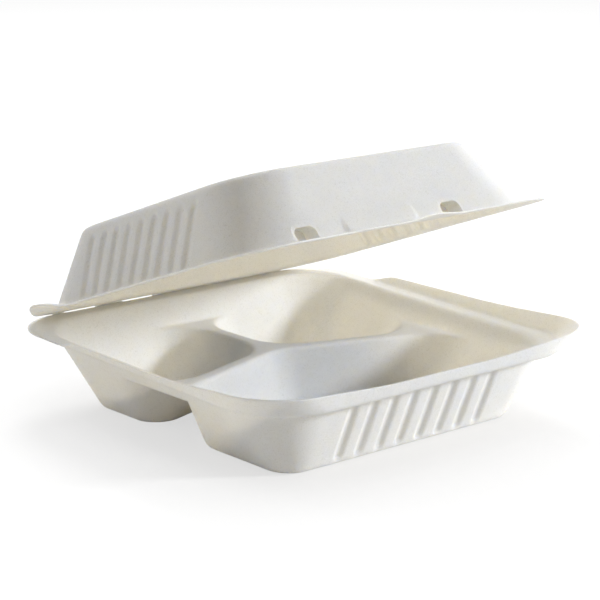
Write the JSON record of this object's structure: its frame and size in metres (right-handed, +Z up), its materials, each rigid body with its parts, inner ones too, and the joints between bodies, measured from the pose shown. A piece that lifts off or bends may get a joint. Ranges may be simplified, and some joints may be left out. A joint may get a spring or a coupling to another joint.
{
  "type": "clamshell food container",
  "caption": "Square molded fibre food container: a fluted tray divided into compartments by a Y-shaped ridge, with a domed lid on a long fold and a front closure.",
  "frame": {"origin": "middle of the tray's rim in plan, on the surface it stands on", "axes": "+X along the fold of the lid, -Y to the front where the lid opens, +Z up"},
  "size_m": [0.2042, 0.2018, 0.1301],
  "materials": {
    "pulp": "matt pressed plant-fibre pulp, off-white, with a fine fibrous skin"
  },
  "bodies": {
    "tray": {"tray": "pulp"},
    "lid": {"lid": "pulp"}
  },
  "joints": [
    {"name": "lid_fold", "type": "hinge", "parent": "tray", "child": "lid", "pos_m": [0, 0.1005, 0.0395], "axis": [-1, 0, 0], "range_deg": [-21.2, 158.5]}
  ]
}
